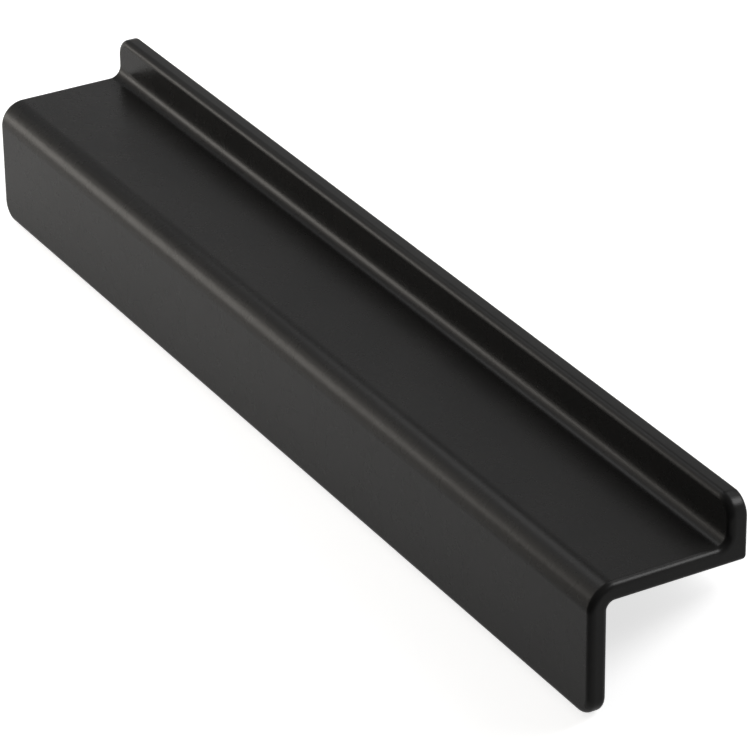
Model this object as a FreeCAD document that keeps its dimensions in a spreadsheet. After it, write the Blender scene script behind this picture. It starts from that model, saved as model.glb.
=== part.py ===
"""Finger pull profile for a drawer or cupboard front, cast in one piece.

The section is a Z. A flange hangs at the front for the fingers, a level web carries it, and a low
lip stands up at the back. The back of the lip and of the web is one flat face that seats on the
front of the drawer, and two tapped bosses under the web take the screws that come through it.

The piece is drawn upright: X along the pull, Y from the front face to the mounting face, Z up,
with the top of the web at Z = 0. It is then tipped back to the way it rests by itself on a level
floor, on the foot of the flange and on the two bosses. Lengths are in millimetres.
"""

import FreeCAD
import Part
import math
import os
from collections import Counter

import Sketcher
from FreeCAD import Placement, Rotation, Vector

# Driving dimensions: name, size in millimetres, meaning.
SIZES = (
    ("length", 200.0, "overall length"),
    ("depth", 27.6, "front face to mounting face"),
    ("flange_height", 22.7, "top of web to foot of flange"),
    ("lip_height", 7.7, "top of web to top of lip"),
    ("flange_thickness", 3.2, "flange wall"),
    ("web_thickness", 3.2, "web wall"),
    ("lip_thickness", 3.2, "lip wall"),
    ("bend_inner_radius", 1.3, "inside of the bend from web to flange"),
    ("lip_root_radius", 2.0, "hollow between web and lip"),
    ("flange_corner_radius", 3.5, "bottom corners of the flange, seen from the front"),
    ("lip_corner_radius", 3.5, "top corners of the lip, seen from the front"),
    ("front_edge_radius", 1.2, "rounding along the edge of the faces seen in use"),
    ("hidden_edge_radius", 1.0, "rounding along the edge of the faces behind and below"),
    ("seat_edge_radius", 0.6, "rounding along the edge of the mounting face"),
    ("screw_spacing", 160.0, "centre to centre of the two screws"),
    ("screw_drop", 3.8, "top of web to centre of screw"),
    ("core_diameter", 3.3, "tapping size of an M4 thread"),
    ("core_depth", 7.5, "mounting face to the end of the full bore"),
    ("mouth_diameter", 4.3, "countersink at the mouth of the bore"),
    ("boss_radius", 3.8, "round underside of a boss"),
    ("boss_length", 10.5, "mounting face to the nose of a boss"),
    ("boss_nose_radius", 1.2, "rounding on the nose of a boss"),
    ("boss_root_radius", 0.8, "hollow between boss and web"),
)
MOUTH_ANGLE = 90
DRILL_POINT_ANGLE = 118
BOSSES = (("left", -1), ("right", 1))
NEAR = 1e-4


def make_sheet(doc):
    """Write the driving dimensions into a spreadsheet, one named cell each."""
    sheet = doc.addObject("Spreadsheet::Sheet", "Sizes")
    for row, (name, size, _meaning) in enumerate(SIZES, start=1):
        sheet.set(f"A{row}", str(size))
        sheet.setAlias(f"A{row}", name)
    doc.recompute()


def new_sketch(body, name, role):
    """An empty sketch on one of the body's own origin planes."""
    plane = next(f for f in body.Origin.OriginFeatures if f.Role == role)
    sketch = body.newObject("Sketcher::SketchObject", name)
    sketch.AttachmentSupport = [(plane, "")]
    sketch.MapMode = "FlatFace"
    return sketch


def seat_sketch(body, name):
    """An empty sketch on the mounting face, its origin level with the top of the web."""
    sketch = new_sketch(body, name, "XZ_Plane")
    sketch.setExpression("AttachmentOffset.Base.z", "-Sizes.depth")
    return sketch


def bind(sketch, constraint, name, expression):
    """Add a size to a sketch, name it and bind it to the sheet."""
    sketch.renameConstraint(sketch.addConstraint(constraint), name)
    sketch.setExpression(f"Constraints.{name}", expression)


def set_distance(sketch, kind, ends, name, expression):
    """Bind the distance from one point to another, starting from the distance as drawn."""
    start, end = (sketch.getPoint(*place) for place in ends)
    drawn = end.x - start.x if kind == "DistanceX" else end.y - start.y
    bind(sketch, Sketcher.Constraint(kind, *ends[0], *ends[1], drawn), name, expression)


def place_centre(sketch, curve, name, side):
    """Bind the centre of a circle or arc to the place of one of the two screws."""
    ends = ((-1, 1), (curve, 3)) if side > 0 else ((curve, 3), (-1, 1))
    set_distance(sketch, "DistanceX", ends, f"{name}_place", "Sizes.screw_spacing / 2")
    set_distance(sketch, "DistanceY", ((curve, 3), (-1, 1)), f"{name}_drop", "Sizes.screw_drop")


def draw_section(body, size):
    """The Z section with square corners: eight sides, each level or upright."""
    sketch = new_sketch(body, "Section", "YZ_Plane")
    lip_front = size["depth"] - size["lip_thickness"]
    corners = (
        Vector(0, -size["flange_height"]),
        Vector(size["flange_thickness"], -size["flange_height"]),
        Vector(size["flange_thickness"], -size["web_thickness"]),
        Vector(size["depth"], -size["web_thickness"]),
        Vector(size["depth"], size["lip_height"]),
        Vector(lip_front, size["lip_height"]),
        Vector(lip_front, 0),
        Vector(0, 0),
    )
    sides = [
        sketch.addGeometry(Part.LineSegment(start, end))
        for start, end in zip(corners, corners[1:] + corners[:1])
    ]
    foot, inner, under, seat, lip_top, lip_face, web_top, front = sides
    for side, following in zip(sides, sides[1:] + sides[:1]):
        sketch.addConstraint(Sketcher.Constraint("Coincident", side, 2, following, 1))
    for side in (foot, under, lip_top, web_top):
        sketch.addConstraint(Sketcher.Constraint("Horizontal", side))
    for side in (inner, seat, lip_face, front):
        sketch.addConstraint(Sketcher.Constraint("Vertical", side))
    sketch.addConstraint(Sketcher.Constraint("Coincident", front, 1, -1, 1))
    for kind, start, end, name in (
        ("DistanceY", (foot, 1), (front, 1), "flange_height"),
        ("DistanceX", (foot, 1), (foot, 2), "flange_thickness"),
        ("DistanceY", (under, 1), (front, 1), "web_thickness"),
        ("DistanceX", (front, 1), (seat, 1), "depth"),
        ("DistanceY", (front, 1), (lip_top, 2), "lip_height"),
        ("DistanceX", (lip_top, 2), (lip_top, 1), "lip_thickness"),
    ):
        set_distance(sketch, kind, (start, end), name, f"Sizes.{name}")
    return sketch


def draw_bosses(body, size):
    """The outlines of the bosses on the mounting face: round below, and square inside the web."""
    sketch = seat_sketch(body, "BossOutlines")
    radius = size["boss_radius"]
    level = -size["screw_drop"]
    top = -size["web_thickness"] / 2
    for name, side in BOSSES:
        middle = side * size["screw_spacing"] / 2
        low_left = Vector(middle - radius, level)
        low_right = Vector(middle + radius, level)
        top_left = Vector(middle - radius, top)
        top_right = Vector(middle + radius, top)
        circle = Part.Circle(Vector(middle, level), Vector(0, 0, 1), radius)
        arc = sketch.addGeometry(Part.ArcOfCircle(circle, math.pi, 2 * math.pi))
        right = sketch.addGeometry(Part.LineSegment(low_right, top_right))
        lid = sketch.addGeometry(Part.LineSegment(top_right, top_left))
        left = sketch.addGeometry(Part.LineSegment(top_left, low_left))
        sketch.addConstraint(Sketcher.Constraint("Tangent", arc, 2, right, 1))
        sketch.addConstraint(Sketcher.Constraint("Coincident", right, 2, lid, 1))
        sketch.addConstraint(Sketcher.Constraint("Coincident", lid, 2, left, 1))
        sketch.addConstraint(Sketcher.Constraint("Tangent", left, 2, arc, 1))
        sketch.addConstraint(Sketcher.Constraint("Vertical", right))
        sketch.addConstraint(Sketcher.Constraint("Vertical", left))
        sketch.addConstraint(Sketcher.Constraint("Horizontal", lid))
        rounding = Sketcher.Constraint("Radius", arc, radius)
        bind(sketch, rounding, f"{name}_radius", "Sizes.boss_radius")
        place_centre(sketch, arc, name, side)
        ends = ((lid, 1), (-1, 1))
        set_distance(sketch, "DistanceY", ends, f"{name}_lid", "Sizes.web_thickness / 2")
    return sketch


def draw_screws(body, size):
    """The cores of the two screw holes on the mounting face."""
    sketch = seat_sketch(body, "ScrewCentres")
    for name, side in BOSSES:
        centre = Vector(side * size["screw_spacing"] / 2, -size["screw_drop"])
        circle = sketch.addGeometry(Part.Circle(centre, Vector(0, 0, 1), size["core_diameter"] / 2))
        core = Sketcher.Constraint("Diameter", circle, size["core_diameter"])
        bind(sketch, core, f"{name}_core", "Sizes.core_diameter")
        place_centre(sketch, circle, name, side)
    return sketch


def same(a, b):
    """Whether two lengths agree."""
    return abs(a - b) < NEAR


def edges_where(shape, wanted):
    """Names of the edges whose middle point and direction there pass a test."""
    names = []
    for number, edge in enumerate(shape.Edges, start=1):
        halfway = (edge.FirstParameter + edge.LastParameter) / 2
        if wanted(edge.valueAt(halfway), edge.tangentAt(halfway)):
            names.append(f"Edge{number}")
    return names


def rim_where(shape, wanted):
    """Names of the edges round a patch of faces, each tested by its middle point and normal."""
    patch = []
    for face in shape.Faces:
        first, last, low, high = face.ParameterRange
        place = ((first + last) / 2, (low + high) / 2)
        if wanted(face.valueAt(*place), face.normalAt(*place)):
            patch.append(face)
    times = Counter(edge.hashCode() for face in patch for edge in face.Edges)
    return [
        f"Edge{number}"
        for number, edge in enumerate(shape.Edges, start=1)
        if times[edge.hashCode()] == 1
    ]


def round_edges(body, name, edges, radius):
    """Round named edges of the body's newest feature, by a radius from the sheet."""
    fillet = body.newObject("PartDesign::Fillet", name)
    fillet.Base = (fillet.BaseFeature, edges)
    fillet.setExpression("Radius", radius)
    body.Document.recompute()


def make_profile(body, size):
    """Draw the section out to its length, then round its bends and its corners."""
    pad = body.newObject("PartDesign::Pad", "Profile")
    pad.Profile = draw_section(body, size)
    pad.SideType = "Symmetric"
    pad.setExpression("Length", "Sizes.length")
    body.Document.recompute()

    def along(y, z):
        return lambda p, d: same(abs(d.x), 1) and same(p.y, y) and same(p.z, z)

    def across(z):
        return lambda p, d: same(abs(d.y), 1) and same(p.z, z)

    under_web = along(size["flange_thickness"], -size["web_thickness"])
    lip_root = along(size["depth"] - size["lip_thickness"], 0)
    outer_radius = "Sizes.bend_inner_radius + Sizes.flange_thickness"
    for name, wanted, radius in (
        ("BendOutside", along(0, 0), outer_radius),
        ("BendInside", under_web, "Sizes.bend_inner_radius"),
        ("LipRoot", lip_root, "Sizes.lip_root_radius"),
        ("FlangeCorners", across(-size["flange_height"]), "Sizes.flange_corner_radius"),
        ("LipCorners", across(size["lip_height"]), "Sizes.lip_corner_radius"),
    ):
        round_edges(body, name, edges_where(body.Tip.Shape, wanted), radius)


def soften_profile(body, size):
    """Round the rim of the faces seen in use, then of those behind and below."""

    def seen_in_use(p, n):
        at_top = same(p.z, size["lip_height"])
        return same(n.x, 0) and n.y < NEAR and n.z > -NEAR and not at_top

    def hidden(p, n):
        outermost = same(p.y, size["depth"]) or same(p.z, -size["flange_height"])
        return same(n.x, 0) and n.y > -NEAR and n.z < NEAR and not outermost

    rim = rim_where(body.Tip.Shape, seen_in_use)
    round_edges(body, "FrontEdges", rim, "Sizes.front_edge_radius")
    shape = body.Tip.Shape
    at_seat = edges_where(shape, lambda p, d: same(p.y, size["depth"]))
    rim = [name for name in rim_where(shape, hidden) if name not in at_seat]
    round_edges(body, "HiddenEdges", rim, "Sizes.hidden_edge_radius")


def make_bosses(body, size):
    """Two bosses from the mounting face along the underside of the web, rounded at nose and root."""
    pad = body.newObject("PartDesign::Pad", "Bosses")
    pad.Profile = draw_bosses(body, size)
    pad.setExpression("Length", "Sizes.boss_length")
    body.Document.recompute()
    nose = size["depth"] - size["boss_length"]
    under = -size["web_thickness"]
    rim = edges_where(body.Tip.Shape, lambda p, d: same(p.y, nose) and p.z < under - NEAR)
    round_edges(body, "BossNoses", rim, "Sizes.boss_nose_radius")

    def at_root(p, d):
        beside = abs(abs(p.x) - size["screw_spacing"] / 2) < size["boss_radius"] + NEAR
        between = nose - NEAR < p.y < size["depth"] - NEAR
        return beside and between and same(p.z, under) and same(d.z, 0)

    round_edges(body, "BossRoots", edges_where(body.Tip.Shape, at_root), "Sizes.boss_root_radius")


def make_seat(body, size):
    """Break the edge of the mounting face, then bore and countersink its two screw holes."""
    rim = rim_where(body.Tip.Shape, lambda p, n: same(p.y, size["depth"]) and same(n.y, 1))
    round_edges(body, "SeatEdges", rim, "Sizes.seat_edge_radius")
    hole = body.newObject("PartDesign::Hole", "ScrewHoles")
    hole.Profile = draw_screws(body, size)
    body.Document.recompute()
    hole.ThreadType = "None"
    hole.Reversed = True
    hole.DepthType = "Dimension"
    hole.DrillPoint = "Angled"
    hole.DrillPointAngle = DRILL_POINT_ANGLE
    hole.HoleCutType = "Countersink"
    hole.HoleCutCustomValues = True
    hole.HoleCutCountersinkAngle = MOUTH_ANGLE
    hole.setExpression("Diameter", "Sizes.core_diameter")
    hole.setExpression("Depth", "Sizes.core_depth")
    hole.setExpression("HoleCutDiameter", "Sizes.mouth_diameter")


def lay_down(doc, body):
    """Tip the upright piece back onto the foot of its flange and its bosses, and centre it there.

    Both touch the floor with a rounded edge, so the tilt is that of a line laid under two circles,
    the foot's and the heel's. The toe and the back of the lip are the two ends of the depth.
    """
    rest = doc.addObject("App::VarSet", "Rest")
    foot = "Sizes.hidden_edge_radius"
    heel = "Sizes.seat_edge_radius"
    toe = "Sizes.front_edge_radius"
    for name, expression in (
        ("foot_y", f"Sizes.flange_thickness - {foot}"),
        ("foot_z", f"{foot} - Sizes.flange_height"),
        ("heel_y", f"Sizes.depth - {heel}"),
        ("heel_z", f"{heel} - Sizes.screw_drop - Sizes.boss_radius"),
        ("span", "hypot(heel_y - foot_y; heel_z - foot_z)"),
        ("tilt", f"atan2(heel_z - foot_z; heel_y - foot_y) + asin(({foot} - {heel}) / span)"),
        ("lift", f"foot_y * sin(tilt) - foot_z * cos(tilt) + {foot}"),
        ("front", f"{toe} * cos(tilt) + ({toe} - Sizes.flange_height) * sin(tilt) - {toe}"),
        ("back", f"heel_y * cos(tilt) + (Sizes.lip_height - {heel}) * sin(tilt) + {heel}"),
    ):
        kind = "App::PropertyAngle" if name == "tilt" else "App::PropertyFloat"
        rest.addProperty(kind, name, "Rest")
        rest.setExpression(name, expression)
    body.Placement = Placement(Vector(), Rotation(Vector(1, 0, 0), -1))
    body.setExpression("Placement.Rotation.Angle", "-Rest.tilt")
    body.setExpression("Placement.Base.y", "-(Rest.front + Rest.back) / 2")
    body.setExpression("Placement.Base.z", "Rest.lift")


def check(doc):
    """Stop if any object failed to rebuild, or has an empty or faulty shape."""
    for thing in doc.Objects:
        if {"Invalid", "Error"} & set(thing.State):
            raise RuntimeError(f"{thing.Label} did not rebuild: {thing.State}")
        shape = getattr(thing, "Shape", None)
        if shape is not None and thing.TypeId.startswith(("PartDesign", "Sketcher")):
            if shape.isNull() or not shape.isValid():
                raise RuntimeError(f"{thing.Label} has a faulty shape")


def main():
    """Build the piece, check it and write it."""
    doc = FreeCAD.newDocument("FingerPull")
    make_sheet(doc)
    size = {name: value for name, value, _meaning in SIZES}
    body = doc.addObject("PartDesign::Body", "FingerPull")
    body.Label = "finger_pull_profile"
    make_profile(body, size)
    soften_profile(body, size)
    make_bosses(body, size)
    make_seat(body, size)
    lay_down(doc, body)
    doc.recompute()
    check(doc)
    os.makedirs("parts", exist_ok=True)
    body.Shape.exportStep(f"parts/{body.Label}.step")


main()
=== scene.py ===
"""Looks for the finger pull profile: its casting, its tapped holes, its coat and the studio."""

import logging
import math
from collections.abc import Callable, Iterable
from dataclasses import dataclass, field
from enum import Enum

import bmesh
import bpy
from bmesh.types import BMEdge, BMesh, BMFace, BMVert
from mathutils import Matrix, Vector

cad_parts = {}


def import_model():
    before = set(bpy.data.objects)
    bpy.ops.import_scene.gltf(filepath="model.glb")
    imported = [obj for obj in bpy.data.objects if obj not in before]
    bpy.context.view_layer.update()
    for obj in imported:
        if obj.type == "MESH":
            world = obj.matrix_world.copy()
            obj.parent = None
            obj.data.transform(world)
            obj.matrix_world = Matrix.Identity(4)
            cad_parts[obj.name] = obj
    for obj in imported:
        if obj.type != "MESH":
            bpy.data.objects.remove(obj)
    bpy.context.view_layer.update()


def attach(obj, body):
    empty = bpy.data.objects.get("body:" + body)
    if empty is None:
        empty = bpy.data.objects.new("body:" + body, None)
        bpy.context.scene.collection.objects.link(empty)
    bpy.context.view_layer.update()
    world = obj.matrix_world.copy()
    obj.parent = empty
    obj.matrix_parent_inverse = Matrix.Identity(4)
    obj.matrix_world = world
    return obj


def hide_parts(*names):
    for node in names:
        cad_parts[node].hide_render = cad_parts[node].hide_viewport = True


LOG = logging.getLogger("finger_pull")
NODE = "finger_pull_profile"
BODY = "root"
MM = 0.001
WHITE = (1.0, 1.0, 1.0, 1.0)

# Two sizes this near, in millimetres, are the same. A hair keeps two cuts apart, and points
# within a weld are joined.
NEAR = 1e-3
HAIR = NEAR / 5
WELD = NEAR / 10
COPLANAR = 1 - 1e-9
SMOOTH_ANGLE = math.radians(32)


class Side(Enum):
    """Which end of the pull something is at, as a sign along X."""

    LEFT = -1
    RIGHT = 1


# Shader building


class Value:
    """A number in a shader, on which the usual signs work."""

    def __init__(self, bench: "ShaderBench", socket: bpy.types.NodeSocket) -> None:
        """Wrap a socket.

        Args:
            bench: the material's nodes, which new Math nodes join.
            socket: the output that carries the number.
        """
        self.bench = bench
        self.socket = socket

    def __add__(self, other: "Value | float") -> "Value":
        """The sum of two numbers."""
        return self.bench.maths("ADD", self, other)

    def __radd__(self, other: float) -> "Value":
        """The sum, with the plain number first."""
        return self.bench.maths("ADD", other, self)

    def __sub__(self, other: "Value | float") -> "Value":
        """The difference of two numbers."""
        return self.bench.maths("SUBTRACT", self, other)

    def __rsub__(self, other: float) -> "Value":
        """The difference, with the plain number first."""
        return self.bench.maths("SUBTRACT", other, self)

    def __mul__(self, other: "Value | float") -> "Value":
        """The product of two numbers."""
        return self.bench.maths("MULTIPLY", self, other)

    def __rmul__(self, other: float) -> "Value":
        """The product, with the plain number first."""
        return self.bench.maths("MULTIPLY", other, self)

    def __abs__(self) -> "Value":
        """The number without its sign."""
        return self.bench.maths("ABSOLUTE", self)

    def root(self) -> "Value":
        """The square root."""
        return self.bench.maths("SQRT", self)

    def larger(self, other: "Value | float") -> "Value":
        """The larger of two numbers."""
        return self.bench.maths("MAXIMUM", self, other)

    def smaller(self, other: "Value | float") -> "Value":
        """The smaller of two numbers."""
        return self.bench.maths("MINIMUM", self, other)

    def between(self, low: float, high: float) -> "Value":
        """A soft step from 0 at one value to 1 at another.

        Args:
            low: where the step starts from 0.
            high: where it reaches 1, which may be the lower of the two.

        Returns:
            The step, held to 0 and 1 outside the two values.
        """
        held = ((self - low) * (1 / (high - low))).larger(0.0).smaller(1.0)
        return held * held * (3 - 2 * held)


class ShaderBench:
    """The nodes of one material or world, made one at a time."""

    def __init__(self, tree: bpy.types.NodeTree) -> None:
        """Empty a node tree to start from.

        Args:
            tree: the material's or world's own tree.
        """
        self.tree = tree
        tree.nodes.clear()

    def node(
        self,
        kind: str,
        inputs: dict[str | int, object] | None = None,
        settings: dict[str, object] | None = None,
    ) -> bpy.types.Node:
        """Make one node, with its settings first and then its inputs.

        Args:
            kind: the node's type name.
            inputs: a value, a Value or an output for each named or numbered input.
            settings: the node's own settings.

        Returns:
            The new node.
        """
        made = self.tree.nodes.new(kind)
        for name, setting in (settings or {}).items():
            setattr(made, name, setting)
        for name, given in (inputs or {}).items():
            socket = made.inputs[name]
            if isinstance(given, Value):
                self.tree.links.new(given.socket, socket)
            elif isinstance(given, bpy.types.NodeSocket):
                self.tree.links.new(given, socket)
            else:
                socket.default_value = given
        return made

    def maths(self, operation: str, *terms: "Value | float") -> Value:
        """One Math node.

        Args:
            operation: the node's operation.
            terms: its inputs in order.

        Returns:
            The result.
        """
        made = self.node("ShaderNodeMath", dict(enumerate(terms)), {"operation": operation})
        return Value(self, made.outputs[0])

    def noise(
        self, at: bpy.types.NodeSocket, size: float, detail: float, roughness: float = 0.55
    ) -> Value:
        """Cloudy noise from 0 to 1, centred on one half.

        Args:
            at: the coordinates.
            size: the size of a cloud, in the units of the coordinates.
            detail: how many finer octaves it has.
            roughness: how strong each octave is next to the one before.

        Returns:
            The noise.
        """
        inputs = {"Vector": at, "Scale": 1 / size, "Detail": detail, "Roughness": roughness}
        return Value(self, self.node("ShaderNodeTexNoise", inputs).outputs["Fac"])

    def mix(self, factor: Value, first: object, second: object) -> bpy.types.NodeSocket:
        """One colour that turns into another.

        Args:
            factor: 0 for the first colour and 1 for the second.
            first: a colour or an output.
            second: a colour or an output.

        Returns:
            The colour output.
        """
        inputs = {0: factor, 6: first, 7: second}
        made = self.node("ShaderNodeMix", inputs, {"data_type": "RGBA"})
        return made.outputs[2]


# Finishes


@dataclass(frozen=True)
class MattCoat:
    """Matt black powder coat on cast zinc, left off where the screw threads are cut.

    Sizes are in millimetres. The coat has a fine grain, a flatter orange peel and faint clouds in
    its colour and gloss. Over the rims it has less grain and is a little duller, and it holds a few
    pale specks of dust.

    A pair of values is where something fades from none to full. The rims' pairs are insets from the
    pull's ends, top and foot, and the bare metal's are distances from the thread and the mouth.
    """

    colour: tuple[float, float, float, float] = (0.0105, 0.0103, 0.0101, 1.0)
    cloud: tuple[float, float, float, float] = (0.0130, 0.0127, 0.0123, 1.0)
    speck: tuple[float, float, float, float] = (0.12, 0.118, 0.113, 1.0)
    zinc: tuple[float, float, float, float] = (0.46, 0.46, 0.47, 1.0)
    specular: float = 0.13
    roughness: float = 0.27
    rim_roughness: float = 0.33
    zinc_roughness: float = 0.34
    gloss_spread: float = 0.10
    gloss_size: float = 5.5
    cloud_size: float = 22.0
    cloud_levels: tuple[float, float] = (0.3, 0.7)
    grain_size: float = 0.16
    grain_height: float = 0.009
    rim_grain_loss: float = 0.5
    peel_size: float = 1.5
    peel_height: float = 0.010
    speck_spacing: float = 4.5
    speck_radius: float = 0.055
    speck_softness: float = 0.4
    speck_height: float = 0.010
    speck_draws: tuple[float, float] = (0.80, 0.84)
    end_rim: tuple[float, float] = (1.3, 0.2)
    top_rim: tuple[float, float] = (1.2, 0.2)
    foot_rim: tuple[float, float] = (1.3, 0.3)
    bare_past_thread: tuple[float, float] = (0.16, 0.06)
    bare_below_mouth: tuple[float, float] = (0.18, 0.34)
    bare_past_drill: float = 0.2

    def make(self, name: str, pull: "PullCasting") -> bpy.types.Material:
        """Make the material.

        Args:
            name: the material's name.
            pull: the casting that it coats.

        Returns:
            The material.
        """
        material = bpy.data.materials.new(name)
        material.use_nodes = True
        bench = ShaderBench(material.node_tree)
        place = self.place(bench, pull.upright)
        split = bench.node("ShaderNodeSeparateXYZ", {"Vector": place}).outputs
        x, y, z = (Value(bench, split[axis]) for axis in "XYZ")
        bare = self.bare_metal(pull, x, y, z)
        coated = 1 - bare
        rim = self.rims(pull, x, z)
        speck = self.specks(bench, place) * coated
        shader = bench.node(
            "ShaderNodeBsdfPrincipled",
            {
                "Base Color": self.paint(bench, place, bare, speck),
                "Metallic": bare,
                "Roughness": self.dullness(bench, place, rim) * coated + self.zinc_roughness * bare,
                "Specular IOR Level": self.specular,
                "Normal": self.relief(bench, place, rim, coated, speck),
            },
        )
        bench.node("ShaderNodeOutputMaterial", {"Surface": shader.outputs["BSDF"]})
        return material

    def paint(
        self, bench: ShaderBench, place: bpy.types.NodeSocket, bare: Value, speck: Value
    ) -> bpy.types.NodeSocket:
        """The clouded coat, with its specks and the bare zinc.

        Args:
            bench: the material's nodes.
            place: coordinates of the upright drawing.
            bare: the share of bare metal.
            speck: the share of speck.

        Returns:
            The colour.
        """
        clouds = bench.noise(place, self.cloud_size, detail=3.0).between(*self.cloud_levels)
        coat = bench.mix(clouds, self.colour, self.cloud)
        coat = bench.mix(speck, coat, self.speck)
        return bench.mix(bare, coat, self.zinc)

    def dullness(self, bench: ShaderBench, place: bpy.types.NodeSocket, rim: Value) -> Value:
        """The coat's roughness, a little uneven and higher on the rims.

        Args:
            bench: the material's nodes.
            place: coordinates of the upright drawing.
            rim: the share of rim.

        Returns:
            The roughness.
        """
        level = self.roughness + (self.rim_roughness - self.roughness) * rim
        uneven = bench.noise(place, self.gloss_size, detail=4.0) - 0.5
        return level + uneven * self.gloss_spread

    def relief(
        self,
        bench: ShaderBench,
        place: bpy.types.NodeSocket,
        rim: Value,
        coated: Value,
        speck: Value,
    ) -> bpy.types.NodeSocket:
        """The fine relief of grain, orange peel and specks.

        Args:
            bench: the material's nodes.
            place: coordinates of the upright drawing.
            rim: the share of rim.
            coated: the share of coat.
            speck: the share of speck.

        Returns:
            The normal.
        """
        grain = bench.noise(place, self.grain_size, detail=2.0) - 0.5
        peel = bench.noise(place, self.peel_size, detail=1.0) - 0.5
        grain = grain * self.grain_height * (1 - self.rim_grain_loss * rim)
        height = (grain + peel * self.peel_height) * coated + speck * self.speck_height
        inputs = {"Height": height * MM, "Distance": 1.0, "Strength": 1.0}
        return bench.node("ShaderNodeBump", inputs).outputs["Normal"]

    def place(self, bench: ShaderBench, upright: Matrix) -> bpy.types.NodeSocket:
        """Coordinates of the upright drawing, in millimetres.

        Args:
            bench: the material's nodes.
            upright: takes a point of the model to the upright drawing.

        Returns:
            The coordinates.
        """
        found = bench.node("ShaderNodeTexCoord").outputs["Object"]
        turned = bench.node(
            "ShaderNodeMapping",
            {
                "Vector": found,
                "Location": upright.to_translation(),
                "Rotation": upright.to_euler(),
                "Scale": (1 / MM, 1 / MM, 1 / MM),
            },
            {"vector_type": "POINT"},
        )
        return turned.outputs["Vector"]

    def bare_metal(self, pull: "PullCasting", x: Value, y: Value, z: Value) -> Value:
        """1 on the walls of the two tapped holes, below their countersinks, and 0 elsewhere.

        Args:
            pull: the casting.
            x: the place along the pull, in the upright drawing.
            y: the place from front to back.
            z: the height.

        Returns:
            The share of bare metal.
        """
        bore, mouth = pull.bore, pull.mouth
        across = abs(x) - mouth.x
        down = z - mouth.z
        from_axis = (across * across + down * down).root()
        outer, inner = self.bare_past_thread
        inside = from_axis.between(bore.major_radius + outer, bore.major_radius + inner)
        depth = mouth.y - y
        end = bore.core_depth + bore.core_radius
        below_mouth = depth.between(*self.bare_below_mouth)
        return inside * below_mouth * depth.between(end + self.bare_past_drill, end)

    def rims(self, pull: "PullCasting", x: Value, z: Value) -> Value:
        """1 round the outer rims, at the pull's ends, top and foot, and 0 on the flats.

        Args:
            pull: the casting.
            x: the place along the pull, in the upright drawing.
            z: the height.

        Returns:
            The share of rim.
        """
        ends = abs(x).between(*(pull.length / 2 - inset for inset in self.end_rim))
        top = z.between(*(pull.lip_height - inset for inset in self.top_rim))
        foot = z.between(*(inset - pull.flange_height for inset in self.foot_rim))
        return ends.larger(top.larger(foot))

    def specks(self, bench: ShaderBench, place: bpy.types.NodeSocket) -> Value:
        """1 on the few specks of dust, and 0 between them.

        Args:
            bench: the material's nodes.
            place: coordinates of the upright drawing.

        Returns:
            The share of speck.
        """
        cells = bench.node(
            "ShaderNodeTexVoronoi", {"Vector": place, "Scale": 1 / self.speck_spacing}
        )
        near = Value(bench, cells.outputs["Distance"]) * self.speck_spacing
        outer = self.speck_radius * (1 + self.speck_softness)
        inner = self.speck_radius * (1 - self.speck_softness)
        colour = bench.node("ShaderNodeSeparateColor", {"Color": cells.outputs["Color"]})
        draw = Value(bench, colour.outputs["Red"])
        return near.between(outer, inner) * draw.between(*self.speck_draws)


# The casting


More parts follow.
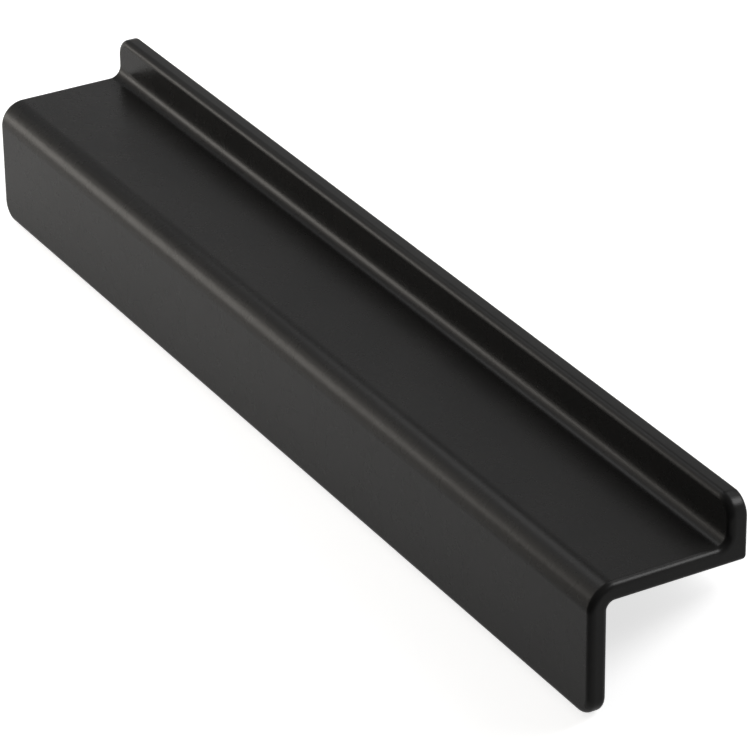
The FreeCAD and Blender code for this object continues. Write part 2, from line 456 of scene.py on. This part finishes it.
@dataclass
class TappedBore:
    """A blind tapped hole and the tools that cut it, in millimetres.

    The tools lie along Z, with the hole's mouth at zero.
    """

    core_radius: float = 1.65
    major_radius: float = 2.0
    pitch: float = 0.7
    thread_depth: float = 6.6
    core_depth: float = 7.5
    mouth_radius: float = 2.15
    flank_angle: float = math.radians(30)
    point_half_angle: float = math.radians(59)
    steps: int = 48
    overshoot: float = 1.0
    spare_turns: int = 3
    drill_play: float = 0.01

    def spun(self, profile: Iterable[tuple[float, float]], climb: float = 0.0) -> BMesh:
        """Turn a profile once round Z.

        Args:
            profile: radius and height of each point.
            climb: how far it rises in the turn.

        Returns:
            The surface, with its seam closed and its faces pointing out.
        """
        bm = bmesh.new()
        points = [bm.verts.new((radius, 0, height)) for radius, height in profile]
        lines = [bm.edges.new(pair) for pair in zip(points, points[1:])]
        bmesh.ops.spin(
            bm,
            geom=points + lines,
            cent=(0, 0, 0),
            axis=(0, 0, 1),
            dvec=(0, 0, climb / self.steps),
            angle=math.tau,
            steps=self.steps,
            use_merge=climb == 0,
        )
        bmesh.ops.remove_doubles(bm, verts=bm.verts, dist=WELD)
        bmesh.ops.recalc_face_normals(bm, faces=bm.faces)
        return bm

    def thread_tool(self) -> BMesh:
        """A threaded plug from outside the mouth to the end of the thread.

        The thread's crest is an eighth of its pitch wide. The spare turns let both ends be cut
        off square.

        Returns:
            The closed tool.
        """
        flank = (self.major_radius - self.core_radius) * math.tan(self.flank_angle)
        crest = self.pitch / 8
        valley = self.pitch - crest - 2 * flank
        turns = math.ceil((self.thread_depth + self.overshoot) / self.pitch) + self.spare_turns
        profile = []
        for turn in range(turns):
            foot = (turn - 2) * self.pitch - self.overshoot
            profile += [
                (self.core_radius, foot),
                (self.core_radius, foot + valley),
                (self.major_radius, foot + valley + flank),
                (self.major_radius, foot + valley + flank + crest),
            ]
        bm = self.spun(profile, self.pitch)
        for height, outward in ((-self.overshoot, -1), (self.thread_depth, 1)):
            bmesh.ops.bisect_plane(
                bm,
                geom=bm.verts[:] + bm.edges[:] + bm.faces[:],
                plane_co=(0, 0, height),
                plane_no=(0, 0, outward),
                clear_outer=True,
            )
        bmesh.ops.holes_fill(bm, edges=[edge for edge in bm.edges if edge.is_boundary], sides=0)
        bmesh.ops.recalc_face_normals(bm, faces=bm.faces)
        return bm

    def drill_tool(self) -> BMesh:
        """The drill, a touch thinner than the thread's core, from inside the thread to its point.

        Returns:
            The closed tool.
        """
        radius = self.core_radius - self.drill_play
        start = self.thread_depth - self.overshoot
        point = self.core_depth + radius / math.tan(self.point_half_angle)
        return self.spun([(0, start), (radius, start), (radius, self.core_depth), (0, point)])

    def countersink_tool(self) -> BMesh:
        """The countersink, a cone of 90 degrees.

        Returns:
            The closed tool.
        """
        start = -self.overshoot
        return self.spun([(0, start), (self.mouth_radius - start, start), (0, self.mouth_radius)])


@dataclass
class PullCasting:
    """The whole pull, drawn upright in millimetres and then laid down as it rests.

    X runs along the pull, Y from the front face to the mounting face, and Z up, with the top of the
    web at zero. The sizes are those of the solid.
    """

    length: float = 200.0
    depth: float = 27.6
    flange_height: float = 22.7
    lip_height: float = 7.7
    wall: float = 3.2
    bend_inner_radius: float = 1.3
    lip_root_radius: float = 2.0
    corner_radius: float = 3.5
    front_edge_radius: float = 1.2
    hidden_edge_radius: float = 1.0
    seat_edge_radius: float = 0.6
    screw_spacing: float = 160.0
    screw_drop: float = 3.8
    boss_radius: float = 3.8
    boss_length: float = 10.5
    boss_nose_radius: float = 1.2
    boss_root_radius: float = 0.8
    bend_strips: int = 24
    inner_bend_strips: int = 14
    lip_root_strips: int = 16
    corner_strips: int = 20
    front_edge_strips: int = 10
    hidden_edge_strips: int = 8
    seat_edge_strips: int = 5
    boss_strips: int = 16
    boss_edge_strips: int = 8
    bore: TappedBore = field(default_factory=TappedBore)

    @property
    def rest(self) -> Matrix:
        """The turn and move that lay the upright drawing down, in metres.

        The rounded foot of the flange and the rounded heels of the bosses touch the floor, so the
        tilt is that of a line laid under two circles.
        """
        under, behind, toe = self.hidden_edge_radius, self.seat_edge_radius, self.front_edge_radius
        foot = Vector((self.wall - under, under - self.flange_height))
        heel = Vector((self.depth - behind, behind - self.screw_drop - self.boss_radius))
        across = heel - foot
        tilt = math.atan2(across.y, across.x) + math.asin((under - behind) / across.length)
        sine, cosine = math.sin(tilt), math.cos(tilt)
        front = toe * cosine + (toe - self.flange_height) * sine - toe
        back = heel.x * cosine + (self.lip_height - behind) * sine + behind
        lift = foot.x * sine - foot.y * cosine + under
        move = Matrix.Translation((0, -(front + back) / 2 * MM, lift * MM))
        return move @ Matrix.Rotation(-tilt, 4, "X")

    @property
    def upright(self) -> Matrix:
        """What takes a point of the finished piece back to the upright drawing, in millimetres."""
        return Matrix.Scale(1 / MM, 4) @ self.rest.inverted()

    @property
    def mouth(self) -> Vector:
        """The middle of the right hole's mouth."""
        return Vector((self.screw_spacing / 2, self.depth, -self.screw_drop))

    @property
    def nose(self) -> float:
        """How far from the front face the bosses start."""
        return self.depth - self.boss_length

    @property
    def sole(self) -> float:
        """The height of the lowest line of a boss."""
        return -(self.screw_drop + self.boss_radius)

    def build(self) -> bpy.types.Object:
        """Model the casting, cut its holes and lay it down.

        Returns:
            The finished object.
        """
        bm = self.drawn_out()
        self.round_bends(bm)
        self.soften_rims(bm)
        self.raise_bosses(bm)
        self.round_bosses(bm)
        self.break_seat(bm)
        bmesh.ops.recalc_face_normals(bm, faces=bm.faces)
        casting = as_object("pull_casting", bm)
        self.cut_holes(casting)
        casting.data.transform(self.rest @ Matrix.Scale(MM, 4))
        smooth_to_flats(casting)
        return casting

    def dress(self, casting: bpy.types.Object, coat: MattCoat) -> None:
        """Coat the casting.

        Args:
            casting: the finished object.
            coat: its finish.
        """
        casting.data.materials.clear()
        casting.data.materials.append(coat.make("matt_black_coat_on_zinc", self))

    def drawn_out(self) -> BMesh:
        """The Z section with square corners, drawn out to its length.

        Returns:
            The new mesh.
        """
        lip_front = self.depth - self.wall
        corners = (
            (0, -self.flange_height),
            (self.wall, -self.flange_height),
            (self.wall, -self.wall),
            (self.depth, -self.wall),
            (self.depth, self.lip_height),
            (lip_front, self.lip_height),
            (lip_front, 0),
            (0, 0),
        )
        bm = bmesh.new()
        end = bm.faces.new([bm.verts.new((-self.length / 2, y, z)) for y, z in corners])
        drawn = bmesh.ops.extrude_face_region(bm, geom=[end])["geom"]
        far = [part for part in drawn if isinstance(part, BMVert)]
        bmesh.ops.translate(bm, verts=far, vec=(self.length, 0, 0))
        bmesh.ops.recalc_face_normals(bm, faces=bm.faces)
        return bm

    def round_bends(self, bm: BMesh) -> None:
        """Round the bends of the section, then the corners of the flange and the lip.

        Args:
            bm: the mesh.
        """

        def along(y: float, z: float) -> Callable[[Vector, Vector], bool]:
            """Edges along the pull at one place of the section."""
            return lambda p, d: same(abs(d.x), 1) and same(p.y, y) and same(p.z, z)

        def across(z: float) -> Callable[[Vector, Vector], bool]:
            """Edges through the wall at one height."""
            return lambda p, d: same(abs(d.y), 1) and same(p.z, z)

        bend_radius = self.bend_inner_radius + self.wall
        for wanted, radius, strips in (
            (along(0, 0), bend_radius, self.bend_strips),
            (along(self.wall, -self.wall), self.bend_inner_radius, self.inner_bend_strips),
            (along(self.depth - self.wall, 0), self.lip_root_radius, self.lip_root_strips),
            (across(-self.flange_height), self.corner_radius, self.corner_strips),
            (across(self.lip_height), self.corner_radius, self.corner_strips),
        ):
            round_off(bm, edges_where(bm, wanted), radius, strips)

    def soften_rims(self, bm: BMesh) -> None:
        """Round the rim of the faces seen in use, then of those behind and below.

        Args:
            bm: the mesh.
        """

        def in_use(face: BMFace) -> bool:
            """Whether a face belongs to the flange's front, the web's top or the lip's front."""
            n = face.normal
            at_top = same(face.calc_center_median().z, self.lip_height)
            return same(n.x, 0) and n.y < NEAR and n.z > -NEAR and not at_top

        def hidden(face: BMFace) -> bool:
            """Whether a face belongs to the flange's back or the web's underside."""
            n = face.normal
            middle = face.calc_center_median()
            outermost = same(middle.y, self.depth) or same(middle.z, -self.flange_height)
            return same(n.x, 0) and n.y > -NEAR and n.z < NEAR and not outermost

        round_off(bm, rim_of(bm, in_use), self.front_edge_radius, self.front_edge_strips)
        back_rim = [
            edge
            for edge in rim_of(bm, hidden)
            if not all(same(vert.co.y, self.depth) for vert in edge.verts)
        ]
        round_off(bm, back_rim, self.hidden_edge_radius, self.hidden_edge_strips)

    def raise_bosses(self, bm: BMesh) -> None:
        """Raise the two bosses from the web's underside, flush with the mounting face.

        Args:
            bm: the mesh.
        """
        for side in Side:
            middle = side.value * self.screw_spacing / 2
            for x in (middle - self.boss_radius, middle + self.boss_radius):
                self.split_underside(bm, Vector((x, 0, 0)), Vector((1, 0, 0)), middle)
            self.split_underside(bm, Vector((0, self.nose, 0)), Vector((0, 1, 0)), middle)
        footprints = [
            face
            for face in self.underside(bm)
            if self.at_boss(face.calc_center_median(), 0.0)
            and face.calc_center_median().y > self.nose
        ]
        outlines = list({edge for face in footprints for edge in face.edges})
        raised = bmesh.ops.extrude_face_region(bm, geom=footprints + outlines)["geom"]
        tops = [part for part in raised if isinstance(part, BMVert)]
        bmesh.ops.translate(bm, verts=tops, vec=(0, 0, self.sole + self.wall))
        bmesh.ops.recalc_face_normals(bm, faces=bm.faces)
        self.join_flats(bm)

    def round_bosses(self, bm: BMesh) -> None:
        """Round the bosses' undersides, then their noses and their roots.

        The two roundings of an underside stop a hair short of each other and are then joined. The
        lines where they start are taken out, because the roots reach past them.

        Args:
            bm: the mesh.
        """
        belly = self.boss_radius - HAIR
        soles = edges_where(bm, lambda p, d: same(abs(d.y), 1) and same(p.z, self.sole))
        round_off(bm, soles, belly, self.boss_strips)
        bmesh.ops.remove_doubles(bm, verts=bm.verts, dist=NEAR)
        starts = edges_where(bm, lambda p, d: same(abs(d.y), 1) and same(p.z, self.sole + belly))
        bmesh.ops.dissolve_edges(bm, edges=starts, use_verts=True)
        noses = edges_where(bm, lambda p, d: same(p.y, self.nose) and p.z < -self.wall - NEAR)
        round_off(bm, noses, self.boss_nose_radius, self.boss_edge_strips)

        def at_root(p: Vector, d: Vector) -> bool:
            """Whether an edge lies where a boss leaves the web."""
            along = self.nose - NEAR < p.y < self.depth - NEAR
            return self.at_boss(p, self.boss_radius) and along and same(p.z, -self.wall)

        round_off(bm, edges_where(bm, at_root), self.boss_root_radius, self.boss_edge_strips)

    def at_boss(self, p: Vector, reach: float) -> bool:
        """Whether a point lies within a reach of a boss's middle plane."""
        return abs(abs(p.x) - self.screw_spacing / 2) <= reach + NEAR

    def underside(self, bm: BMesh) -> list[BMFace]:
        """The faces of the web's flat underside."""
        return [
            face
            for face in bm.faces
            if same(face.normal.z, -1) and same(face.calc_center_median().z, -self.wall)
        ]

    def split_underside(self, bm: BMesh, point: Vector, normal: Vector, middle: float) -> None:
        """Cut the web's underside where a boss will stand.

        Args:
            bm: the mesh.
            point: a point on the cutting plane.
            normal: the plane's normal, along X or Y.
            middle: the boss's place along the pull.
        """
        reach = self.boss_radius + NEAR if normal.y else self.length
        faces = [
            face for face in self.underside(bm) if abs(face.calc_center_median().x - middle) < reach
        ]
        edges = {edge for face in faces for edge in face.edges}
        verts = {vert for face in faces for vert in face.verts}
        bmesh.ops.bisect_plane(
            bm, geom=[*verts, *edges, *faces], plane_co=point, plane_no=normal, dist=WELD
        )

    def join_flats(self, bm: BMesh) -> None:
        """Make each boss's back one face with the mounting face, and mend the cuts beside it.

        Args:
            bm: the mesh.
        """
        seams = [
            edge
            for edge in bm.edges
            if len(edge.link_faces) == 2
            and edge.link_faces[0].normal.dot(edge.link_faces[1].normal) > COPLANAR
            and (
                all(same(vert.co.y, self.depth) for vert in edge.verts)
                or all(same(vert.co.z, -self.wall) for vert in edge.verts)
            )
        ]
        bmesh.ops.dissolve_edges(bm, edges=seams, use_verts=False)
        bmesh.ops.dissolve_verts(bm, verts=[vert for vert in bm.verts if runs_straight(vert)])

    def break_seat(self, bm: BMesh) -> None:
        """Break the edge of the mounting face.

        Args:
            bm: the mesh.
        """

        def seat(face: BMFace) -> bool:
            """Whether a face is the mounting face."""
            return same(face.normal.y, 1) and same(face.calc_center_median().y, self.depth)

        round_off(bm, rim_of(bm, seat), self.seat_edge_radius, self.seat_edge_strips)

    def cut_holes(self, casting: bpy.types.Object) -> None:
        """Cut the tapped holes, both with right-hand threads.

        Args:
            casting: the object to cut.
        """
        inward = Matrix.Rotation(math.pi / 2, 4, "X")
        for side in Side:
            mouth = Vector((side.value * self.mouth.x, self.mouth.y, self.mouth.z))
            for tool in (self.bore.countersink_tool, self.bore.thread_tool, self.bore.drill_tool):
                bm = tool()
                bmesh.ops.transform(bm, matrix=Matrix.Translation(mouth) @ inward, verts=bm.verts)
                cut_away(casting, as_object("cutter", bm))
        close_up(casting)


# Mesh helpers


def same(a: float, b: float) -> bool:
    """Whether two sizes agree."""
    return abs(a - b) < NEAR


def runs_straight(vert: BMVert) -> bool:
    """Whether a point only has two edges, which run on in one line."""
    ways = [(edge.other_vert(vert).co - vert.co).normalized() for edge in vert.link_edges]
    return len(ways) == 2 and same(abs(ways[0].dot(ways[1])), 1)


def edges_where(bm: BMesh, wanted: Callable[[Vector, Vector], bool]) -> list[BMEdge]:
    """The edges whose middle and direction pass a test.

    Args:
        bm: the mesh.
        wanted: the test.

    Returns:
        The edges that pass.
    """
    found = []
    for edge in bm.edges:
        start, end = (vert.co for vert in edge.verts)
        if wanted((start + end) / 2, (end - start).normalized()):
            found.append(edge)
    return found


def rim_of(bm: BMesh, wanted: Callable[[BMFace], bool]) -> list[BMEdge]:
    """The edges round a patch of faces.

    Args:
        bm: the mesh.
        wanted: whether a face belongs to the patch.

    Returns:
        The edges that have the patch on one side only.
    """
    patch = {face for face in bm.faces if wanted(face)}
    return [edge for edge in bm.edges if sum(face in patch for face in edge.link_faces) == 1]


def round_off(bm: BMesh, edges: list[BMEdge], radius: float, strips: int) -> None:
    """Round edges to a radius.

    Args:
        bm: the mesh.
        edges: the edges, which part two faces at a right angle.
        radius: the radius.
        strips: how many strips the rounding has.
    """
    bmesh.ops.bevel(
        bm,
        geom=edges,
        offset=radius,
        offset_type="OFFSET",
        segments=strips,
        profile=0.5,
        affect="EDGES",
        clamp_overlap=False,
        loop_slide=True,
        material=-1,
    )


def as_object(name: str, bm: BMesh) -> bpy.types.Object:
    """Put a mesh in the scene.

    Args:
        name: the object's name.
        bm: the mesh, which is freed.

    Returns:
        The object.
    """
    mesh = bpy.data.meshes.new(name)
    bm.to_mesh(mesh)
    bm.free()
    made = bpy.data.objects.new(name, mesh)
    bpy.context.scene.collection.objects.link(made)
    return made


def settle(piece: bpy.types.Object) -> None:
    """Write a piece's modifiers into its mesh.

    Args:
        piece: the object.
    """
    graph = bpy.context.evaluated_depsgraph_get()
    finished = bpy.data.meshes.new_from_object(piece.evaluated_get(graph))
    old = piece.data
    piece.modifiers.clear()
    piece.data = finished
    finished.name = piece.name
    bpy.data.meshes.remove(old)


def cut_away(piece: bpy.types.Object, cutter: bpy.types.Object) -> None:
    """Cut one shape out of another and remove the cutter.

    Args:
        piece: the object that is cut.
        cutter: the closed shape to take away.
    """
    cut = piece.modifiers.new("cut", "BOOLEAN")
    cut.operation = "DIFFERENCE"
    cut.solver = "EXACT"
    cut.object = cutter
    settle(piece)
    shape = cutter.data
    bpy.data.objects.remove(cutter)
    bpy.data.meshes.remove(shape)


def close_up(piece: bpy.types.Object) -> None:
    """Close the pinholes that cutting leaves where two cuts cross.

    Args:
        piece: the object.
    """
    bm = bmesh.new()
    bm.from_mesh(piece.data)
    bmesh.ops.remove_doubles(bm, verts=bm.verts, dist=HAIR)
    bmesh.ops.holes_fill(bm, edges=[edge for edge in bm.edges if edge.is_boundary], sides=0)
    bmesh.ops.recalc_face_normals(bm, faces=bm.faces)
    bm.to_mesh(piece.data)
    bm.free()


def smooth_to_flats(piece: bpy.types.Object) -> None:
    """Shade the roundings smooth and keep the flats flat.

    Args:
        piece: the object.
    """
    piece.data.shade_smooth()
    piece.data.set_sharp_from_angle(angle=SMOOTH_ANGLE)
    even = piece.modifiers.new("even", "WEIGHTED_NORMAL")
    even.keep_sharp = True
    even.weight = 100
    settle(piece)


# The studio


class Tint(Enum):
    """The colour of a lamp's light."""

    NEUTRAL = (1.0, 1.0, 1.0)
    WARM = (1.0, 0.955, 0.89)


@dataclass(frozen=True)
class Lamp:
    """A soft box, hung round the pull and aimed at it.

    Its azimuth runs from +X towards +Y and its elevation up from the floor, in degrees. Distance
    and size are in metres, and power is in watts.
    """

    name: str
    azimuth: float
    elevation: float
    distance: float
    size: float
    power: float
    tint: Tint = Tint.NEUTRAL
    aim: tuple[float, float, float] = (0.0, 0.0, 0.01)

    def hang(self) -> None:
        """Put the lamp in the scene."""
        light = bpy.data.lights.new(self.name, "AREA")
        light.shape = "SQUARE"
        light.size = self.size
        light.energy = self.power
        light.color = self.tint.value
        lamp = bpy.data.objects.new(self.name, light)
        azimuth, elevation = math.radians(self.azimuth), math.radians(self.elevation)
        level = self.distance * math.cos(elevation)
        place = Vector(
            (
                level * math.cos(azimuth),
                level * math.sin(azimuth),
                self.distance * math.sin(elevation),
            )
        )
        lamp.location = place
        lamp.rotation_euler = (Vector(self.aim) - place).to_track_quat("-Z", "Y").to_euler()
        bpy.context.scene.collection.objects.link(lamp)


@dataclass
class Studio:
    """The floor, the light and the camera.

    The camera's place is in the upright drawing, in millimetres. Its azimuth, elevation and roll
    are in degrees, and the lens is in millimetres on a sensor of 36.
    """

    lamps: tuple[Lamp, ...] = (
        Lamp("key", 207, 25.5, 1.0, 0.3, 1.26, Tint.WARM),
        Lamp("left_wall", 200, 40, 1.0, 1.0, 0.70, Tint.WARM),
        Lamp("left_above", 203, 43, 0.5, 0.25, 0.26, Tint.WARM),
        Lamp("left_front", 215, 10, 1.0, 0.5, 0.95, Tint.WARM),
        Lamp("left_low", 190, 15, 1.0, 0.5, 0.80, Tint.WARM),
        Lamp("left_middle", 164, 28, 1.0, 0.4, 0.18),
        Lamp("left_back", 139, 11, 2.0, 1.0, 1.22),
        Lamp("left_high", 150, 42, 0.66, 0.2, 0.21),
        Lamp("overhead", 160, 55, 0.5, 0.25, 0.18),
        Lamp("back", 100, 34, 1.0, 0.5, 1.6),
        Lamp("right_back", 61, 23, 1.0, 0.45, 7.4),
    )
    floor_size: float = 6.0
    floor_paint: float = 0.8
    floor_seen: float = 0.72
    floor_reflected: float = 0.30
    world_level: float = 0.10
    camera_place: tuple[float, float, float] = (543.774, -287.577, 319.670)
    camera_azimuth: float = 60.4145
    camera_elevation: float = 28.2328
    camera_roll: float = -0.7623
    lens: float = 203.263
    sensor: float = 36.0
    clip_range: tuple[float, float] = (0.01, 20.0)

    def build(self, rest: Matrix) -> None:
        """Set up the studio.

        Args:
            rest: takes the upright drawing to the piece as it lies, in metres.
        """
        self.lay_floor()
        self.light_world()
        for lamp in self.lamps:
            lamp.hang()
        self.place_camera(rest)
        bpy.context.scene.view_settings.view_transform = "Standard"

    def floor_glow(self, bench: ShaderBench) -> Value:
        """How much white the floor adds to what is seen directly, by reflection or through glass.

        Args:
            bench: the nodes.

        Returns:
            The strength, which is 0 for the light that the floor sheds on the pull.
        """
        path = bench.node("ShaderNodeLightPath").outputs
        seen = Value(bench, path["Is Camera Ray"])
        reflected = Value(bench, path["Is Glossy Ray"]) + Value(bench, path["Is Transmission Ray"])
        return seen * self.floor_seen + reflected.smaller(1.0) * self.floor_reflected

    def lay_floor(self) -> None:
        """A plain pale floor that shows white and keeps a soft shadow."""
        bm = bmesh.new()
        bmesh.ops.create_grid(bm, x_segments=1, y_segments=1, size=self.floor_size / 2)
        floor = as_object("floor", bm)
        material = bpy.data.materials.new("pale_floor")
        material.use_nodes = True
        bench = ShaderBench(material.node_tree)
        pale = (self.floor_paint, self.floor_paint, self.floor_paint, 1.0)
        paper = bench.node("ShaderNodeBsdfDiffuse", {"Color": pale})
        glow = bench.node(
            "ShaderNodeEmission", {"Color": WHITE, "Strength": self.floor_glow(bench)}
        )
        both = bench.node("ShaderNodeAddShader", {0: paper.outputs[0], 1: glow.outputs[0]})
        bench.node("ShaderNodeOutputMaterial", {"Surface": both.outputs[0]})
        floor.data.materials.append(material)

    def light_world(self) -> None:
        """An even grey room that the camera sees as white."""
        world = bpy.data.worlds.new("room")
        world.use_nodes = True
        bench = ShaderBench(world.node_tree)
        path = bench.node("ShaderNodeLightPath").outputs
        seen = Value(bench, path["Is Camera Ray"])
        level = self.world_level + (1 - self.world_level) * seen
        glow = bench.node("ShaderNodeBackground", {"Color": WHITE, "Strength": level})
        bench.node("ShaderNodeOutputWorld", {"Surface": glow.outputs[0]})
        bpy.context.scene.world = world

    def place_camera(self, rest: Matrix) -> None:
        """Put the camera where the photograph was taken from, as seen from the upright drawing.

        Args:
            rest: takes the upright drawing to the piece as it lies, in metres.
        """
        lens = bpy.data.cameras.new("camera")
        lens.sensor_width = self.sensor
        lens.lens = self.lens
        lens.clip_start, lens.clip_end = self.clip_range
        turn = (
            Matrix.Rotation(math.radians(self.camera_azimuth), 4, "Z")
            @ Matrix.Rotation(math.radians(90 - self.camera_elevation), 4, "X")
            @ Matrix.Rotation(math.radians(self.camera_roll), 4, "Z")
        )
        place = Matrix.Translation(Vector(self.camera_place) * MM)
        camera = bpy.data.objects.new("camera", lens)
        camera.matrix_world = rest @ place @ turn
        bpy.context.scene.collection.objects.link(camera)
        bpy.context.scene.camera = camera


def corners(box: tuple[Vector, Vector]) -> list[list[float]]:
    """A box as plain lists of numbers."""
    return [list(corner) for corner in box]


def main() -> None:
    """Build the piece and the studio round it."""
    logging.basicConfig(level=logging.INFO, format="%(message)s")
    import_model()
    pull = PullCasting()
    casting = pull.build()
    pull.dress(casting, MattCoat())
    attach(casting, BODY)
    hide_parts(NODE)
    LOG.info("pull_casting: %d faces", len(casting.data.polygons))
    Studio().build(pull.rest)
    LOG.info("studio: floor, lamps and camera")


if __name__ == "__main__":
    main()
